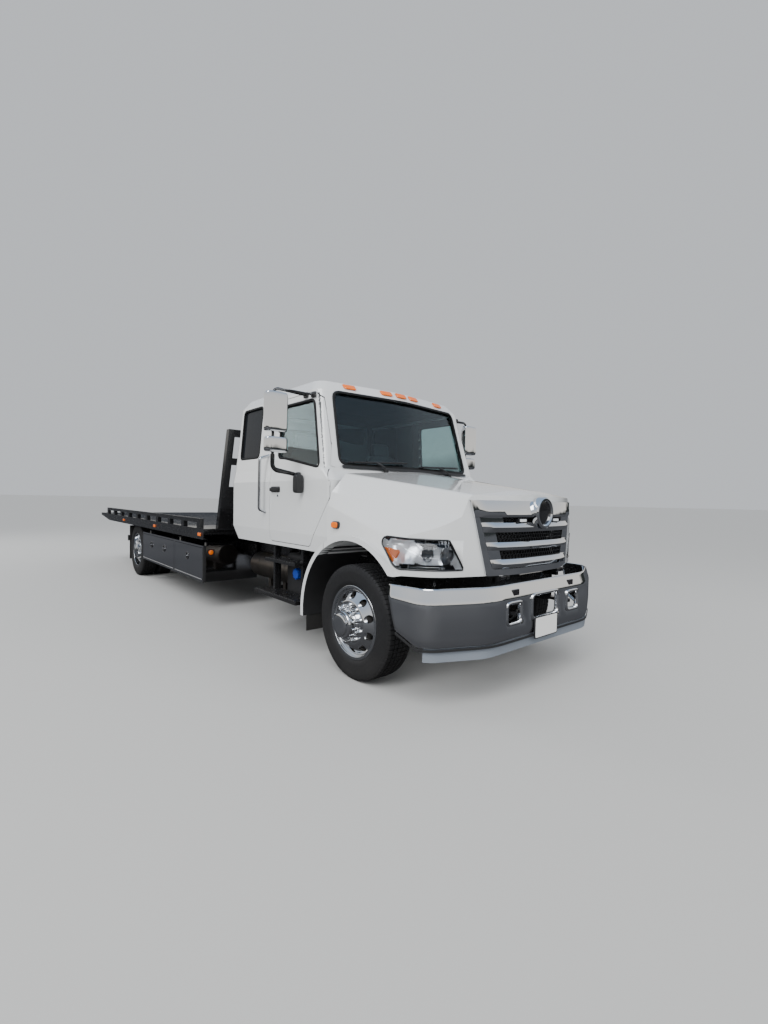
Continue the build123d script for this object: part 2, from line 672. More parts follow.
def lamp_prism():
    """The prism of the headlamp's side view, for both lamps."""
    points = [
        (FRONT_AXLE_X + 290, 1188),
        (FRONT_AXLE_X + 860, 1172),
        (FRONT_AXLE_X + 985, 962),
        (FRONT_AXLE_X + 520, 958),
    ]
    lamp = side_prism(points, (-1300, -735), [40, 60, 30, 40])
    return lamp


def frame_lug_clearance():
    """The room that the hood leaves round the right-hand lug of the frame."""
    reach = HOOD_LUG_THICKNESS / 2 + RUNNING_GAP
    y_range = (-hook_y - reach, -hook_y + reach)
    return rod_y(hood_pin_x, HOOD_PIN_Z, HOOD_LUG_RADIUS + RUNNING_GAP, y_range)


def hood():
    """The tilting hood: bonnet, fenders, arch lips and hinge lugs."""
    outer = hood_form(0)
    lamps = lamp_prism()
    shell = outer - hood_form(HOOD_WALL)
    shell -= grille_opening(GRILLE_FRAME)
    shell -= lamps + to_left(lamps)
    arch = rod_y(FRONT_AXLE_X, TYRE_RADIUS, ARCH_RADIUS, (-1400, -600))
    lip = rod_y(FRONT_AXLE_X, TYRE_RADIUS, ARCH_RADIUS + ARCH_LIP, (-1130 - ARCH_LIP_OUT, -1060)) - arch
    lip &= box((hood_rear_x, FRONT_AXLE_X + 700), (-1300, -1000), (HOOD_BOTTOM_Z, 1300))
    lug_z = (HOOD_PIN_Z - HOOD_PIN_RADIUS - 12, HOOD_BOTTOM_Z + GRILLE_FRAME)
    shell = shell - arch - to_left(arch) + lip + to_left(lip)
    nose_band = (outer - hood_form(40)) & box(
        (FRONT_AXLE_X + 700, FRONT_AXLE_X + FRONT_OVERHANG),
        (-GRILLE_BOTTOM_HALF, GRILLE_BOTTOM_HALF),
        (HOOD_BOTTOM_Z, HOOD_BOTTOM_Z + GRILLE_FRAME),
    )
    shell += nose_band
    frame_lug = frame_lug_clearance()
    shell -= frame_lug + to_left(frame_lug)
    for offset_y in (-1, 1):
        middle = hook_y + offset_y * (HOOD_LUG_THICKNESS + RUNNING_GAP)
        lug_y = (-middle - HOOD_LUG_THICKNESS / 2, -middle + HOOD_LUG_THICKNESS / 2)
        boss_x = (hood_pin_x - HOOD_BOSS_RADIUS, hood_pin_x + HOOD_BOSS_RADIUS)
        lug = box(boss_x, lug_y, lug_z) & hood_form(1)
        boss = rod_y(hood_pin_x, HOOD_PIN_Z, HOOD_BOSS_RADIUS, lug_y)
        lug += boss - box(boss_x, lug_y, (HOOD_BOTTOM_Z, HOOD_BOTTOM_Z + HOOD_BOSS_RADIUS))
        lug -= rod_y(hood_pin_x, HOOD_PIN_Z, HOOD_PIN_RADIUS + PIN_GAP, lug_y)
        shell += lug + to_left(lug)
    return shell


def grille():
    """The grille's frame, which lies on the hood's face, and its level bars."""
    flange = hood_form(-GRILLE_OUT) - hood_form(0)
    frame = flange & (grille_opening(0) - grille_opening(GRILLE_FRAME))
    bars = None
    for z in GRILLE_BARS_Z:
        x_range = (FRONT_AXLE_X + 600, FRONT_AXLE_X + FRONT_OVERHANG)
        z_range = (z - GRILLE_BAR_HEIGHT / 2, z + GRILLE_BAR_HEIGHT / 2)
        bar = box(x_range, (-GRILLE_TOP_HALF, GRILLE_TOP_HALF), z_range)
        bars = bar if bars is None else bars + bar
    bar_skin = hood_form(-GRILLE_OUT) - hood_form(MESH_DEPTH)
    frame_lug = frame_lug_clearance()
    frame -= frame_lug + to_left(frame_lug)
    return frame + (bar_skin & bars & grille_opening(GRILLE_FRAME))


def grille_mesh():
    """The panel behind the bars."""
    return (hood_form(MESH_DEPTH) - hood_form(MESH_DEPTH + MESH_WALL)) & grille_opening(GRILLE_FRAME)


def headlamps():
    """Both headlamps, set in the fenders' front corners."""
    skin = hood_form(0) - hood_form(LAMP_DEPTH)
    lamp = skin & lamp_prism()
    return both_sides(lamp)


# Cab

def cab_section(row, inset, z):
    """One level section of the cab, drawn inward by the inset."""
    _, setback, rear_inset, narrowing, bow, front_radius, rear_radius = row
    front = cab_front_x - setback - inset
    rear = cab_rear_x + rear_inset + inset
    half = CAB_HALF_WIDTH - narrowing - inset
    points = [(front, 0), (front - bow, half), (rear, half), (rear, -half), (front - bow, -half)]
    shrink = min(inset, 40)
    radii = [1500, front_radius - shrink, rear_radius - shrink, rear_radius - shrink, front_radius - shrink]
    return plan_face(points, z, radii)


def cab_form(inset):
    """The solid form of the cab, drawn inward by the inset."""
    sections = []
    last = len(CAB_ROWS) - 1
    for index, row in enumerate(CAB_ROWS):
        z = row[0]
        if index == 0:
            z += inset
        if index >= last - 1:
            z -= inset
        sections.append(cab_section(row, inset, z))
    return loft(sections, ruled=True)


DOOR_AXIS_SETBACK = 45
DOOR_LENGTH = 1090
DOOR_BOTTOM_Z = 1012
DOOR_TOP_Z = 2450
DOOR_INNER_Y = 930
DOOR_HINGE_Y = 1064
DOOR_HINGE_RADIUS = 7
DOOR_HINGES = ((1466, 1506), (1566, 1606))
GLASS_INSET = 18
GLASS_WALL = 6
door_front_x = cab_front_x - DOOR_AXIS_SETBACK
door_rear_x = door_front_x - DOOR_LENGTH


def door_outline(margin):
    """The door's side view as (x, z) points, grown by the margin."""
    return [
        (door_front_x + margin, 1450),
        (door_front_x + margin, 1600),
        (door_front_x - 130 + margin, 1748),
        (door_front_x - 300 + margin, 2380 + margin),
        (door_front_x - 380, DOOR_TOP_Z + margin),
        (door_rear_x - margin, DOOR_TOP_Z + margin),
        (door_rear_x - margin, DOOR_BOTTOM_Z - margin),
        (door_front_x - 320 + margin * 0.6, DOOR_BOTTOM_Z - margin),
    ]


def door_prism(margin):
    """The right-hand door's prism."""
    radii = [60, 40, 60, 30, 30, 60, 60, 60]
    return side_prism(door_outline(margin), (-CAB_HALF_WIDTH - 60, -DOOR_INNER_Y + margin), radii)


def door_window():
    """The prism of the right-hand door's window."""
    points = [
        (door_front_x - 190, 1735),
        (door_front_x - 375, 2380),
        (door_rear_x + 115, 2385),
        (door_rear_x + 115, 1860),
        (door_rear_x + 260, 1850),
    ]
    return side_prism(points, (-CAB_HALF_WIDTH - 60, -DOOR_INNER_Y), [50, 50, 50, 40, 60])


def side_window():
    """The prism of the right-hand fixed window behind the door."""
    points = [
        (cab_rear_x + 180, 1890),
        (cab_rear_x + 180, 2450),
        (cab_rear_x + 660, 2450),
        (cab_rear_x + 660, 1890),
    ]
    return side_prism(points, (-CAB_HALF_WIDTH - 60, -DOOR_INNER_Y), 50)


def windscreen_prism():
    """The prism of the windscreen's front view."""
    points = [(-872, 1775), (872, 1775), (833, 2472), (-833, 2472)]
    return front_prism(points, (cab_front_x - 460, cab_front_x + 50), [60, 60, 80, 80])


def rear_window():
    """The prism of the window in the cab's back wall."""
    points = [(-430, 1930), (430, 1930), (430, 2330), (-430, 2330)]
    return front_prism(points, (cab_rear_x - 20, cab_rear_x + 220), 60)


def cab_shell():
    """The hollow cab with its door openings and window openings."""
    shell = cab_form(0) - cab_form(CAB_WALL)
    side_cuts = door_prism(PANEL_GAP) + side_window()
    shell = shell - side_cuts - to_left(side_cuts) - windscreen_prism() - rear_window()
    arch = rod_y(FRONT_AXLE_X, TYRE_RADIUS, ARCH_RADIUS + PANEL_GAP, (-1200, 1200))
    pins = door_hinge_pins(DOOR_HINGE_RADIUS)
    return shell - arch + pins + to_left(pins)


def door_hinge_pins(radius):
    """The right-hand door's hinge pins, in the gap at its front edge."""
    pins = None
    for z_range in DOOR_HINGES:
        pin = rod_z(door_front_x + PANEL_GAP / 2, -DOOR_HINGE_Y, radius, z_range)
        pins = pin if pins is None else pins + pin
    return pins


def cab_glass():
    """Windscreen, side windows and rear window, set in their openings."""
    skin = cab_form(GLASS_INSET) - cab_form(GLASS_INSET + GLASS_WALL)
    side = skin & side_window()
    panes = [skin & windscreen_prism(), side, to_left(side), skin & rear_window()]
    solids = []
    for pane in panes:
        solids.extend(pane.solids())
    return group(solids)


def door():
    """The right-hand door with its window opening and handle."""
    panel = (cab_form(0) - cab_form(CAB_WALL)) & door_prism(0)
    panel -= door_window()
    panel -= door_hinge_pins(DOOR_HINGE_RADIUS + PIN_GAP)
    handle = box(
        (door_rear_x + 45, door_rear_x + 200),
        (-CAB_HALF_WIDTH - 28, -CAB_HALF_WIDTH + 5),
        (1520, 1556),
    )
    return panel + fillet(handle.edges().filter_by(Axis.Z), 10)


def door_glass():
    """The right-hand door's window."""
    skin = cab_form(GLASS_INSET) - cab_form(GLASS_INSET + GLASS_WALL)
    return skin & door_window()


MIRROR_X_SETBACK = 495
MIRROR_TUBE_RADIUS = 14
CONVEX_INNER_Y = 1230
CONVEX_OUTER_Y = 1450
mirror_x = cab_front_x - MIRROR_X_SETBACK


def mirrors():
    """The right-hand mirrors: main, convex and look-down, on their bent tube."""
    tube_x = mirror_x - 60
    tube = tube_path(
        [(tube_x, -960, 2432), (tube_x, -1345, 2450), (tube_x, -1345, 1700), (tube_x, -1045, 1665)],
        60,
        MIRROR_TUBE_RADIUS,
    )
    tube -= cab_form(0)
    main = box((mirror_x - 50, mirror_x + 30), (-1455, -1238), (2045, 2400))
    main = fillet(main.edges().filter_by(Axis.X), 45)
    main = fillet(main.faces().sort_by(Axis.X)[-1].edges(), 22)
    convex = box((mirror_x - 50, mirror_x + 25), (-CONVEX_OUTER_Y, -CONVEX_INNER_Y), (1862, 2002))
    convex = fillet(convex.edges().filter_by(Axis.X), 45)
    convex = fillet(convex.faces().sort_by(Axis.X)[-1].edges(), 20)
    frame = tube + main + convex
    look_down = box((mirror_x - 20, mirror_x + 60), (-1190, -1040), (1600, 1730))
    look_down = fillet(look_down.edges().filter_by(Axis.X), 30) - cab_form(0)
    solids = [*frame.solids(), *look_down.solids()]
    return group(solids)


def dashboard():
    """The dashboard with the steering column and wheel on the left."""
    front = cab_front_x - 110
    points = [
        (cab_front_x, 1330),
        (cab_front_x, 1700),
        (front - 180, 1730),
        (front - 330, 1640),
        (front - 300, 1330),
    ]
    side_y = DOOR_INNER_Y - RUNNING_GAP - 3
    panel = side_prism(points, (-side_y, side_y), [0, 0, 60, 60, 30])
    panel &= cab_form(CAB_WALL)
    centre = (front - 480, 540, 1600)
    direction = Vector(-0.75, 0, 0.66)
    wheel_plane = Plane(origin=centre, z_dir=direction)
    wheel = wheel_plane * Torus(215, 16)
    wheel += wheel_plane * Cylinder(45, 40)
    for angle in (30, 150, 270):
        wheel += wheel_plane * Rot(0, 0, angle) * Pos(105, 0, 0) * Box(210, 26, 14)
    column = Plane(origin=Vector(*centre) - direction.normalized() * 150, z_dir=direction) * Cylinder(28, 300)
    return panel + wheel + column


def seats():
    """Two front seats and a rear bench on the cab floor."""
    floor = CAB_FLOOR_Z + CAB_WALL
    # Each row: front of the cushion behind the cab front, middle y, width, cushion length
    rows = [
        (760, -540, 500, 480),
        (760, 540, 500, 480),
        (1470, 0, 1300, 420),
    ]
    solids = []
    for setback, y, width, length in rows:
        front = cab_front_x - setback
        side = (y - width / 2, y + width / 2)
        pedestal_side = (y - width / 2 + 60, y + width / 2 - 60)
        seat = box((front - length, front), side, (floor + 190, floor + 340))
        seat += box((front - length + 40, front - 60), pedestal_side, (floor, floor + 190))
        back = [
            (front - length + 60, floor + 330),
            (front - length, floor + 1000),
            (front - length - 90, floor + 1000),
            (front - length - 20, floor + 200),
        ]
        seat += side_prism(back, side)
        solids.extend(seat.solids())
    return group(solids)


# Cab fittings
STEP_OUTER_Y = 1150
STEP_INNER_Y = 925
LOWER_STEP_Z = (460, 495)
UPPER_STEP_Z = (800, 830)


def cab_steps():
    """Two treads a side on brackets under the cab."""
    front = cab_front_x - 445
    rear = front - 860
    tread = (-STEP_OUTER_Y, -STEP_INNER_Y)
    steps = box((rear, front), tread, LOWER_STEP_Z)
    steps += box((rear + 120, front - 120), (-STEP_OUTER_Y + 60, -STEP_INNER_Y), UPPER_STEP_Z)
    for x in (front - 150, rear + 150):
        bracket_z = (LOWER_STEP_Z[0], CAB_FLOOR_Z)
        steps += box((x - 20, x + 20), (-STEP_INNER_Y - 70, -STEP_INNER_Y), bracket_z)
    return both_sides(steps)


def grab_handles():
    """A bent grab handle behind each door."""
    x = door_rear_x - 95
    points = [
        (x, -CAB_HALF_WIDTH + 30, 1290),
        (x, -CAB_HALF_WIDTH - 72, 1330),
        (x, -CAB_HALF_WIDTH - 72, 1860),
        (x, -CAB_HALF_WIDTH + 60, 1905),
    ]
    handle = tube_path(points, 30, 16) - cab_form(0)
    return both_sides(max(handle.solids(), key=lambda solid: solid.volume))


def roof_markers():
    """Five marker lamps along the roof's front edge."""
    solids = []
    for y in (-640, -190, 0, 190, 640):
        x = cab_front_x - 400 - abs(y) * 0.12
        lamp = box((x - 60, x + 30), (y - 28, y + 28), (2560, 2632))
        lamp = fillet(lamp.edges().group_by(Axis.Z)[-1], 12) - cab_form(0)
        solids.append(max(lamp.solids(), key=lambda solid: solid.volume))
    return group(solids)


TAIL_BOTTOM_Z = 395
TAIL_INNER_Y = 640
TAIL_OUTER_Y = 1150
TAIL_LIP_INNER_Y = 1105
LINER_WALL = 10


def fender_tails():
    """The rear quarter of each front wheel's arch: a curved liner with a lip, under the cab."""
    inner = ARCH_RADIUS + PANEL_GAP
    liner_y = (-TAIL_OUTER_Y, -TAIL_INNER_Y)
    liner = rod_y(FRONT_AXLE_X, TYRE_RADIUS, inner + LINER_WALL, liner_y)
    lip_y = (-TAIL_OUTER_Y, -TAIL_LIP_INNER_Y)
    tail = liner + rod_y(FRONT_AXLE_X, TYRE_RADIUS, inner + ARCH_LIP, lip_y)
    tail -= rod_y(FRONT_AXLE_X, TYRE_RADIUS, inner, liner_y)
    quarter_x = (FRONT_AXLE_X - inner - ARCH_LIP - 1, hood_rear_x - HOOD_REAR_GAP)
    tail &= box(quarter_x, (-TAIL_OUTER_Y, -TAIL_INNER_Y), (TAIL_BOTTOM_Z, 1200))
    return both_sides(tail - cab_form(0))


def mud_flaps():
    """The flaps behind the front and rear wheels."""
    front_x = FRONT_AXLE_X - ARCH_RADIUS - PANEL_GAP
    front_z = (250, TAIL_BOTTOM_Z)
    front = box((front_x - FLAP_THICKNESS, front_x), (-TAIL_LIP_INNER_Y, -TAIL_INNER_Y), front_z)
    rear_range = (rear_flap_x - FLAP_THICKNESS / 2, rear_flap_x + FLAP_THICKNESS / 2)
    rear = box(rear_range, (-tyre_outer_y, -tyre_inner_y), (240, FLAP_ROD_Z - FLAP_ROD_RADIUS))
    return group([*both_sides(front).solids(), *both_sides(rear).solids()])


def fuel_tank():
    """The tank under the left side of the cab."""
    tank = box((tank_front_x - 1180, tank_front_x), (TANK_INNER_Y, TANK_OUTER_Y), (TANK_BOTTOM, TANK_TOP))
    return fillet(tank.edges().filter_by(Axis.X), 70)


def urea_tank():
    """The small tank with its cap under the right side of the cab."""
    tank = box((tank_front_x - 440, tank_front_x - 60), (-TANK_OUTER_Y, -TANK_INNER_Y), (TANK_BOTTOM, TANK_TOP))
    tank = fillet(tank.edges().filter_by(Axis.X), 40)
    return tank + rod_y(tank_front_x - 200, 690, 45, (-TANK_OUTER_Y - 45, -TANK_OUTER_Y + 5))


CANISTER_Y = 690
CANISTER_Z = 640
CANISTER_RADIUS = 150


def exhaust_canister():
    """The exhaust canister behind the small tank, on its saddles."""
    can = rod_x(-CANISTER_Y, CANISTER_Z, CANISTER_RADIUS, (tank_front_x - 1480, tank_front_x - 560))
    can = fillet(can.edges().filter_by(GeomType.CIRCLE), 20)
    saddle_y = (-CANISTER_Y - HANGER_WIDTH, -CANISTER_Y + HANGER_WIDTH)
    for x in hanger_x[2:]:
        saddle_x = (x - HANGER_WIDTH / 2, x + HANGER_WIDTH / 2)
        can += box(saddle_x, saddle_y, (TANK_BOTTOM, CANISTER_Z))
    return can


# Tool boxes

def toolbox():
    """The right-hand tool box body with two door openings."""
    y_range = (-BOX_OUTER_Y, -BOX_INNER_Y)
    body = box((box_rear_x, box_front_x), y_range, (BOX_BOTTOM_Z, BOX_TOP_Z))
    inner_y = (-BOX_OUTER_Y + BOX_DOOR_THICKNESS + RUNNING_GAP, -BOX_INNER_Y - BOX_WALL)
    inner_z = (BOX_BOTTOM_Z + BOX_WALL, BOX_TOP_Z - BOX_WALL)
    split_x = box_front_x - BOX_SPLIT
    body -= box((split_x + BOX_WALL / 2, box_front_x - BOX_WALL), inner_y, inner_z)
    body -= box((box_rear_x + BOX_WALL, split_x - BOX_WALL / 2), inner_y, inner_z)
    for start, end in toolbox_bays():
        opening_y = (-BOX_OUTER_Y - 1, -BOX_OUTER_Y + BOX_DOOR_THICKNESS + RUNNING_GAP)
        gap = RUNNING_GAP
        body -= box((end - gap, start + gap), opening_y, (door_z[0] - gap, door_z[1] + gap))
        body += rod_x(-BOX_OUTER_Y, door_z[0], BOX_HINGE_RADIUS, (end + gap, start - gap))
    return body


BOX_DOOR_EDGE = 30
BOX_HINGE_RADIUS = 7
door_z = (BOX_BOTTOM_Z + BOX_DOOR_EDGE, BOX_TOP_Z - BOX_DOOR_EDGE)


def toolbox_bays():
    """The front and rear limits of each door."""
    split_x = box_front_x - BOX_SPLIT
    return [
        (box_front_x - BOX_DOOR_EDGE, split_x + BOX_DOOR_EDGE),
        (split_x - BOX_DOOR_EDGE, box_rear_x + BOX_DOOR_EDGE),
    ]


def toolbox_door(bay):
    """One right-hand drop-down door with its latch."""
    start, end = toolbox_bays()[bay]
    panel = box((end, start), (-BOX_OUTER_Y, -BOX_OUTER_Y + BOX_DOOR_THICKNESS), door_z)
    return panel - rod_x(-BOX_OUTER_Y, door_z[0], BOX_HINGE_RADIUS + PIN_GAP, (end, start))


def rear_light_bar():
    """The lamp bar under the rear end of the frame."""
    x_range = (rail_rear_x - 30, rail_rear_x + 50)
    bar = box(x_range, (-1000, 1000), (rail_bottom - 110, rail_bottom))
    return bar


# Bed and its subframe
SUBFRAME_HEIGHT = 65
SUBFRAME_GAP = 5
SUBFRAME_FRONT_SETBACK = 140
SLIDE_BARREL_RADIUS = 32
SLIDE_BORE_RADIUS = 24
SLIDE_ROD_RADIUS = 18
SLIDE_PAD_LENGTH = 100
GLAND_LENGTH = 40
SILL_BOTTOM_GAP = 5
ROD_PIN_AHEAD = 2250
ROD_PIN_Z = 900
ROD_PIN_RADIUS = 20
CYLINDER_Y = 240
CYLINDER_EYE_WIDTH = 44

subframe_z = (RAIL_TOP + SUBFRAME_GAP, RAIL_TOP + SUBFRAME_GAP + SUBFRAME_HEIGHT)
subframe_front_x = bed_front_x - SUBFRAME_FRONT_SETBACK
slide_axis_z = (subframe_z[0] + subframe_z[1]) / 2
slide_barrel_x = (tilt_pivot_x + 380, subframe_front_x - 60)
rod_pin_x = tilt_pivot_x + ROD_PIN_AHEAD
ear_y = (RAIL_OUTER_Y + 3 * RUNNING_GAP, RAIL_OUTER_Y + 3 * RUNNING_GAP + TILT_EAR_THICKNESS)
LIFT_TUBE_BEHIND = 150
LIFT_TUBE_HALF = 45
LIFT_PIN_BEHIND = 250
LIFT_PIN_Z = 755
LIFT_PIN_RADIUS = 25
LIFT_LUG_THICKNESS = 25
BOOM_HALF_WIDTH = 75
BOOM_HALF_HEIGHT = 65
BOOM_LENGTH = 620
BOOM_WALL = 10
lift_pin_x = tilt_pivot_x - LIFT_PIN_BEHIND


def bed_subframe():
    """The tilting subframe: rails, crossmembers, pivot ears, slide cylinder and lift bracket."""
    rail = box((tilt_pivot_x + 20, subframe_front_x), (-RAIL_OUTER_Y, -RAIL_OUTER_Y + 80), subframe_z)
    frame = rail + to_left(rail)
    inner = RAIL_OUTER_Y - 80
    for x in (subframe_front_x - 50, box_front_x - 900, rod_pin_x + 110, REAR_AXLE_X, slide_barrel_x[0] + 40):
        frame += box((x - 35, x + 35), (-inner, inner), subframe_z)
    frame += rod_x(0, slide_axis_z, SLIDE_BARREL_RADIUS, slide_barrel_x)
    bore = (slide_barrel_x[0] + GLAND_LENGTH, slide_barrel_x[1] - 30)
    frame -= rod_x(0, slide_axis_z, SLIDE_BORE_RADIUS, bore)
    gland = (slide_barrel_x[0] - 1, slide_barrel_x[0] + GLAND_LENGTH)
    frame -= rod_x(0, slide_axis_z, SLIDE_ROD_RADIUS + PIN_GAP, gland)
    pad_y = (-RAIL_OUTER_Y, -RAIL_OUTER_Y + 80)
    pad_z = (subframe_z[1], subframe_z[1] + SILL_BOTTOM_GAP - PIN_GAP)
    for x in (tilt_pivot_x + 200, box_front_x - 900, subframe_front_x - SLIDE_PAD_LENGTH):
        pad = box((x, x + SLIDE_PAD_LENGTH), pad_y, pad_z)
        frame += pad + to_left(pad)
    for side in (-1, 1):
        for offset_y in (-1, 1):
            middle = side * CYLINDER_Y + offset_y * (CYLINDER_EYE_WIDTH / 2 + RUNNING_GAP + 12)
            plate = box((rod_pin_x - 32, rod_pin_x + 100), (middle - 12, middle + 12), subframe_z)
            frame += plate
        pin_reach = CYLINDER_EYE_WIDTH / 2 + RUNNING_GAP + 12
        pin_range = (side * CYLINDER_Y - pin_reach, side * CYLINDER_Y + pin_reach)
        frame += rod_y(rod_pin_x, ROD_PIN_Z, ROD_PIN_RADIUS, pin_range)
        ear_range = ear_y if side > 0 else (-ear_y[1], -ear_y[0])
        frame += pivot_ear(ear_range)
        reach = (inner, ear_y[1]) if side > 0 else (-ear_y[1], -inner)
        frame += box((tilt_pivot_x + 20, tilt_pivot_x + 160), reach, subframe_z)
    tube_x = tilt_pivot_x - LIFT_TUBE_BEHIND
    tube_range = (tube_x - LIFT_TUBE_HALF / 2, tube_x + LIFT_TUBE_HALF / 2)
    tube_z = (LIFT_PIN_Z - LIFT_TUBE_HALF, LIFT_PIN_Z + LIFT_TUBE_HALF)
    frame += box(tube_range, (-ear_y[0], ear_y[0]), tube_z)
    for side in (-1, 1):
        middle = side * (BOOM_HALF_WIDTH + RUNNING_GAP + LIFT_LUG_THICKNESS / 2)
        lug_y = (middle - LIFT_LUG_THICKNESS / 2, middle + LIFT_LUG_THICKNESS / 2)
        frame += box((lift_pin_x, tube_range[1]), lug_y, tube_z)
        frame += rod_y(lift_pin_x, LIFT_PIN_Z, LIFT_TUBE_HALF, lug_y)
    pin_half = BOOM_HALF_WIDTH + RUNNING_GAP + LIFT_LUG_THICKNESS
    frame += rod_y(lift_pin_x, LIFT_PIN_Z, LIFT_PIN_RADIUS, (-pin_half, pin_half))
    return frame


def pivot_ear(y_range):
    """An ear that hangs from the subframe round the tilt pin and reaches back to the lift tube."""
    points = [
        (tilt_pivot_x + 160, subframe_z[1]),
        (tilt_pivot_x + 160, subframe_z[0]),
        (tilt_pivot_x + 30, TILT_PIVOT_Z - TILT_EAR_RADIUS + 8),
        (tilt_pivot_x - LIFT_TUBE_BEHIND - LIFT_TUBE_HALF / 2, LIFT_PIN_Z - LIFT_TUBE_HALF),
        (tilt_pivot_x - LIFT_TUBE_BEHIND - LIFT_TUBE_HALF / 2, LIFT_PIN_Z + LIFT_TUBE_HALF),
        (tilt_pivot_x - 30, TILT_PIVOT_Z + TILT_EAR_RADIUS),
        (tilt_pivot_x + 20, subframe_z[1]),
    ]
    ear = side_prism(points, y_range) + rod_y(tilt_pivot_x, TILT_PIVOT_Z, TILT_EAR_RADIUS, y_range)
    return ear - rod_y(tilt_pivot_x, TILT_PIVOT_Z, TILT_PIN_RADIUS + PIN_GAP, y_range)


CHANNEL_WALL = 12
CHANNEL_FLANGE = 50
DECK_MEMBER_BOTTOM = 975
DECK_MEMBER_WIDTH = 60
DECK_MEMBER_PITCH = 620
TAIL_TAPER = 830
TAIL_TIP = 45
sill_bottom = subframe_z[1] + SILL_BOTTOM_GAP
floor_bottom = BED_FLOOR_Z - BED_FLOOR_THICKNESS


def deck():
    """The bed: floor, side channels, crossmembers, sills, cylinder lug and winch frame."""
    x_range = (TAIL_X, bed_front_x)
    bed = box(x_range, (-BED_HALF_WIDTH, BED_HALF_WIDTH), (floor_bottom, BED_FLOOR_Z))
    web = box(x_range, (-BED_HALF_WIDTH, -BED_HALF_WIDTH + CHANNEL_WALL), (BED_CHANNEL_BOTTOM, BED_FLOOR_Z))
    flange_z = (BED_CHANNEL_BOTTOM, BED_CHANNEL_BOTTOM + CHANNEL_WALL)
    web += box(x_range, (-BED_HALF_WIDTH, -BED_HALF_WIDTH + CHANNEL_FLANGE), flange_z)
    sill = box((TAIL_X + 60, bed_front_x), (-RAIL_OUTER_Y, -RAIL_OUTER_Y + 80), (sill_bottom, floor_bottom))
    bed += web + to_left(web) + sill + to_left(sill)
    count = int((bed_front_x - TAIL_X - 200) / DECK_MEMBER_PITCH)
    for index in range(count + 1):
        x = bed_front_x - 60 - index * DECK_MEMBER_PITCH
        member_x = (x - DECK_MEMBER_WIDTH / 2, x + DECK_MEMBER_WIDTH / 2)
        bed += box(member_x, (-BED_HALF_WIDTH, BED_HALF_WIDTH), (DECK_MEMBER_BOTTOM, floor_bottom))
    taper = [
        (TAIL_X - 10, BED_CHANNEL_BOTTOM - 50),
        (TAIL_X - 10, BED_FLOOR_Z - TAIL_TIP),
        (TAIL_X, BED_FLOOR_Z - TAIL_TIP),
        (TAIL_X + TAIL_TAPER, BED_CHANNEL_BOTTOM),
        (TAIL_X + TAIL_TAPER, BED_CHANNEL_BOTTOM - 50),
    ]
    bed -= side_prism(taper, (-BED_HALF_WIDTH - 10, BED_HALF_WIDTH + 10))
    lug_x = slide_barrel_x[0] - 170
    bed += box((lug_x - 20, lug_x + 20), (-40, 40), (slide_axis_z - 25, floor_bottom))
    bed += rod_x(0, slide_axis_z, SLIDE_ROD_RADIUS, (lug_x, slide_barrel_x[1] - 100))
    return bed + winch_frame()


WINCH_SETBACK = 420
WINCH_HALF_WIDTH = 300
WINCH_DRUM_RADIUS = 85
WINCH_FLANGE_RADIUS = 140
WINCH_PLATE = 20
WINCH_Z = 1215
WINCH_PIN_RADIUS = 30
winch_x = bed_front_x - WINCH_SETBACK


def winch_frame():
    """The winch's side plates and motor case on the bed floor, with the drum's pins."""
    frame = None
    for side in (-1, 1):
        inner = side * (WINCH_HALF_WIDTH + RUNNING_GAP)
        outer = side * (WINCH_HALF_WIDTH + RUNNING_GAP + WINCH_PLATE)
        y_range = (min(inner, outer), max(inner, outer))
        plate = box((winch_x - 170, winch_x + 170), y_range, (BED_FLOOR_Z, WINCH_Z + 150))
        pin_start = side * (WINCH_HALF_WIDTH - 40)
        pin = rod_y(winch_x, WINCH_Z, WINCH_PIN_RADIUS, (min(pin_start, inner), max(pin_start, inner)))
        frame = plate + pin if frame is None else frame + plate + pin
    plate_outer = WINCH_HALF_WIDTH + RUNNING_GAP + WINCH_PLATE
    frame += rod_y(winch_x, WINCH_Z, 105, (plate_outer, plate_outer + 220))
    frame += box((winch_x - 170, winch_x - 130), (-plate_outer, plate_outer), (BED_FLOOR_Z, BED_FLOOR_Z + 50))
    return frame


def winch_drum():
    """The drum with its flanges."""
    half = WINCH_HALF_WIDTH
    drum = rod_y(winch_x, WINCH_Z, WINCH_DRUM_RADIUS, (-half, half))
    for y_range in ((-half, -half + 15), (half - 15, half)):
        drum += rod_y(winch_x, WINCH_Z, WINCH_FLANGE_RADIUS, y_range)
    for y_range in ((-half, -half + 45), (half - 45, half)):
        drum -= rod_y(winch_x, WINCH_Z, WINCH_PIN_RADIUS + PIN_GAP, y_range)
    return drum


SIDE_RAIL_SIZE = 50
SIDE_RAIL_TOP_Z = 1175
SIDE_RAIL_SETBACK = 120
SIDE_RAIL_TAIL = 620
SIDE_POST_PITCH = 620
SIDE_POST_LENGTH = 110


def deck_side_rails():
    """The raised tube rail on posts along each side of the bed."""
    y_range = (-BED_HALF_WIDTH, -BED_HALF_WIDTH + SIDE_RAIL_SIZE)
    x_range = (TAIL_X + SIDE_RAIL_TAIL, bed_front_x - SIDE_RAIL_SETBACK)
    rail = box(x_range, y_range, (SIDE_RAIL_TOP_Z - SIDE_RAIL_SIZE, SIDE_RAIL_TOP_Z))
    length = x_range[1] - x_range[0] - SIDE_POST_LENGTH
    count = round(length / SIDE_POST_PITCH)
    for index in range(count + 1):
        x = x_range[0] + SIDE_POST_LENGTH / 2 + index * length / count
        post_x = (x - SIDE_POST_LENGTH / 2, x + SIDE_POST_LENGTH / 2)
        rail += box(post_x, y_range, (BED_FLOOR_Z, SIDE_RAIL_TOP_Z - SIDE_RAIL_SIZE))
    return both_sides(rail)


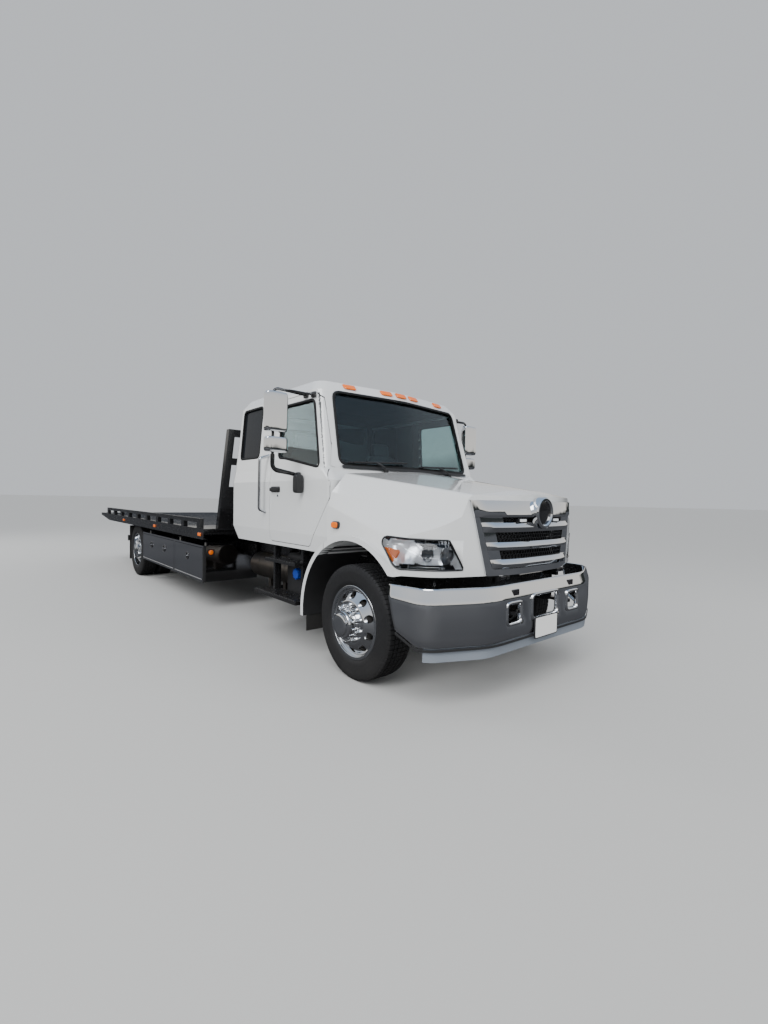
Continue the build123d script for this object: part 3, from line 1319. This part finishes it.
HEADBOARD_TOP_Z = 2270
HEADBOARD_HALF_WIDTH = 1080
HEADBOARD_CLEAR = 60
HEADBOARD_TUBE = 80


def headboard():
    """The frame behind the cab, leaning forward over the gap."""
    top_x = cab_rear_x - HEADBOARD_CLEAR
    bottom_x = bed_front_x - 10
    width = HEADBOARD_TUBE
    slope = (top_x - bottom_x) / (HEADBOARD_TOP_Z - BED_FLOOR_Z)

    def band(y_range, z_range, depth):
        """A block that follows the headboard's lean."""
        x0 = bottom_x + (z_range[0] - BED_FLOOR_Z) * slope
        x1 = bottom_x + (z_range[1] - BED_FLOOR_Z) * slope
        points = [(x0, z_range[0]), (x1, z_range[1]), (x1 - depth, z_range[1]), (x0 - depth, z_range[0])]
        return side_prism(points, y_range)

    half = HEADBOARD_HALF_WIDTH
    full_z = (BED_FLOOR_Z, HEADBOARD_TOP_Z)
    frame = None
    for y in (-half, -360 - width / 2, 360 - width / 2, half - width):
        post = band((y, y + width), full_z, width)
        frame = post if frame is None else frame + post
    for z in (BED_FLOOR_Z, 1500, 1850, HEADBOARD_TOP_Z - width):
        frame += band((-half, half), (z, z + width), width)
    frame += band((-half, half), (BED_FLOOR_Z, 1540), 8)
    return frame


# Tilt cylinders
BARREL_RADIUS = 45
BARREL_LENGTH = 960
CYLINDER_ROD_RADIUS = 25
CYLINDER_EYE_RADIUS = 62
ROD_EYE_RADIUS = 46
ROD_EYE_PLAY = 8
cylinder_run = rod_pin_x - cylinder_pin_x
cylinder_rise = ROD_PIN_Z - CYLINDER_PIN_Z
cylinder_length = math.hypot(cylinder_run, cylinder_rise)
cylinder_direction = Vector(cylinder_run / cylinder_length, 0, cylinder_rise / cylinder_length)


def along_cylinder(start, end, radius, y):
    """A round bar on a tilt cylinder's axis, between two distances from its frame pin."""
    origin = Vector(cylinder_pin_x, y, CYLINDER_PIN_Z) + cylinder_direction * ((start + end) / 2)
    return Plane(origin=origin, z_dir=cylinder_direction) * Cylinder(radius, end - start)


def tilt_barrel():
    """The right-hand tilt cylinder's barrel with its eye."""
    half = CYLINDER_EYE_WIDTH / 2
    y_range = (-CYLINDER_Y - half, -CYLINDER_Y + half)
    barrel = rod_y(cylinder_pin_x, CYLINDER_PIN_Z, CYLINDER_EYE_RADIUS, y_range)
    barrel += along_cylinder(CYLINDER_PIN_RADIUS, BARREL_LENGTH, BARREL_RADIUS, -CYLINDER_Y)
    bore = CYLINDER_ROD_RADIUS + 4
    barrel -= along_cylinder(CYLINDER_EYE_RADIUS + 20, BARREL_LENGTH - GLAND_LENGTH, bore, -CYLINDER_Y)
    gland = CYLINDER_ROD_RADIUS + PIN_GAP
    barrel -= along_cylinder(BARREL_LENGTH - GLAND_LENGTH, BARREL_LENGTH + 1, gland, -CYLINDER_Y)
    barrel -= rod_y(cylinder_pin_x, CYLINDER_PIN_Z, CYLINDER_PIN_RADIUS + PIN_GAP, (-300, -180))
    return barrel


def tilt_rod():
    """The right-hand tilt cylinder's rod with its eye."""
    half = CYLINDER_EYE_WIDTH / 2
    y_range = (-CYLINDER_Y - half, -CYLINDER_Y + half)
    rod_end = cylinder_length - ROD_PIN_RADIUS - ROD_EYE_PLAY - 2
    rod = along_cylinder(CYLINDER_EYE_RADIUS + 40, rod_end, CYLINDER_ROD_RADIUS, -CYLINDER_Y)
    rod += rod_y(rod_pin_x, ROD_PIN_Z, ROD_EYE_RADIUS, y_range)
    return rod - rod_y(rod_pin_x, ROD_PIN_Z, ROD_PIN_RADIUS + ROD_EYE_PLAY, y_range)


# Wheel lift

def lift_boom():
    """The outer boom of the wheel lift, hollow for the stinger."""
    start = lift_pin_x + 30
    end = lift_pin_x - BOOM_LENGTH
    side = (-BOOM_HALF_WIDTH, BOOM_HALF_WIDTH)
    z_range = (LIFT_PIN_Z - BOOM_HALF_HEIGHT, LIFT_PIN_Z + BOOM_HALF_HEIGHT)
    boom = box((end, start), side, z_range)
    inner_y = (-BOOM_HALF_WIDTH + BOOM_WALL, BOOM_HALF_WIDTH - BOOM_WALL)
    inner_z = (z_range[0] + BOOM_WALL, z_range[1] - BOOM_WALL)
    boom -= box((end + GLAND_LENGTH, lift_pin_x - 50), inner_y, inner_z)
    mouth_half_y = inner_y[1] - RUNNING_GAP + PIN_GAP
    mouth_half_z = BOOM_HALF_HEIGHT - BOOM_WALL - RUNNING_GAP + PIN_GAP
    mouth_z = (LIFT_PIN_Z - mouth_half_z, LIFT_PIN_Z + mouth_half_z)
    boom -= box((end - 1, end + GLAND_LENGTH), (-mouth_half_y, mouth_half_y), mouth_z)
    return boom - rod_y(lift_pin_x, LIFT_PIN_Z, LIFT_PIN_RADIUS + PIN_GAP, (-100, 100))


def lift_stinger():
    """The sliding inner boom with the crossbar and its wheel forks."""
    clear = BOOM_WALL + RUNNING_GAP
    half_y = BOOM_HALF_WIDTH - clear
    half_z = BOOM_HALF_HEIGHT - clear
    end = lift_pin_x - BOOM_LENGTH - 60
    tube = box((end, lift_pin_x - 60), (-half_y, half_y), (LIFT_PIN_Z - half_z, LIFT_PIN_Z + half_z))
    bar_x = (end - 90, end)
    tube += box(bar_x, (-480, 480), (LIFT_PIN_Z - 55, LIFT_PIN_Z + 55))
    for y in (-440, 440):
        tube += box((end - 60, end - 20), (y - 25, y + 25), (LIFT_PIN_Z + 40, LIFT_PIN_Z + 130))
    return tube


NODES = {
    "frame_rails": frame_rails,
    "frame_hangers": frame_hangers,
    "tow_hooks": tow_hooks,
    "front_bumper": front_bumper,
    "air_dam": air_dam,
    "front_axle_beam": front_axle_beam,
    "rear_axle_housing": rear_axle_housing,
    "engine_block": engine_block,
    "drive_shaft": drive_shaft,
    "fuel_tank": fuel_tank,
    "urea_tank": urea_tank,
    "exhaust_canister": exhaust_canister,
    "cab_shell": cab_shell,
    "cab_glass": cab_glass,
    "dashboard": dashboard,
    "seats": seats,
    "cab_steps": cab_steps,
    "grab_handles": grab_handles,
    "roof_markers": roof_markers,
    "fender_tails": fender_tails,
    "mud_flaps": mud_flaps,
    "rear_light_bar": rear_light_bar,
    "hood": hood,
    "grille": grille,
    "grille_mesh": grille_mesh,
    "headlamps": headlamps,
    "bed_subframe": bed_subframe,
    "deck": deck,
    "deck_side_rails": deck_side_rails,
    "headboard": headboard,
    "winch_drum": winch_drum,
    "lift_boom": lift_boom,
    "lift_stinger": lift_stinger,
}


def build_nodes():
    """Every node's shape by name."""
    nodes = {name: make() for name, make in NODES.items()}
    front_spring = leaf_spring(FRONT_AXLE_X, FRONT_SPRING_HALF, axle_seat_top)
    rear_spring = leaf_spring(REAR_AXLE_X, REAR_SPRING_HALF, TYRE_RADIUS + REAR_TUBE_RADIUS)
    springs = [*both_sides(front_spring).solids(), *both_sides(rear_spring).solids()]
    nodes["leaf_springs"] = group(springs)
    front_wheel = rim_and_disc() + hub(DISC_DISH, DRUM_LENGTH)
    inner_wheel = at_wheel(rim_and_disc(), REAR_AXLE_X, rear_inner_y)
    outer_wheel = at_wheel(rim_and_disc().mirror(Plane.XZ), REAR_AXLE_X, rear_outer_y)
    rear_hub = at_wheel(hub(0, DRUM_LENGTH), REAR_AXLE_X, rear_mount_y)
    left_parts = {
        "knuckle": knuckle(),
        "front_tyre": at_wheel(tyre(), FRONT_AXLE_X, front_tyre_y),
        "front_wheel": at_wheel(front_wheel, FRONT_AXLE_X, front_tyre_y),
        "rear_wheels": inner_wheel + outer_wheel + rear_hub,
    }
    for name, shape in left_parts.items():
        nodes[f"{name}_left"] = shape
        nodes[f"{name}_right"] = to_left(shape)
    rear_tyres = [at_wheel(tyre(), REAR_AXLE_X, y) for y in (rear_inner_y, rear_outer_y)]
    nodes["rear_tyres_left"] = group(tyre.solid() for tyre in rear_tyres)
    nodes["rear_tyres_right"] = to_left(nodes["rear_tyres_left"])
    right_parts = {
        "door": door(),
        "door_glass": door_glass(),
        "mirrors": mirrors(),
        "toolbox": toolbox(),
        "toolbox_front_door": toolbox_door(0),
        "toolbox_rear_door": toolbox_door(1),
    }
    for name, shape in right_parts.items():
        nodes[f"{name}_right"] = shape
        nodes[f"{name}_left"] = to_left(shape)
    nodes["tilt_barrels"] = both_sides(tilt_barrel())
    nodes["tilt_rods"] = both_sides(tilt_rod())
    return nodes


os.makedirs("parts", exist_ok=True)
for node_name, node_shape in build_nodes().items():
    export_step(node_shape, f"parts/{node_name}.step")
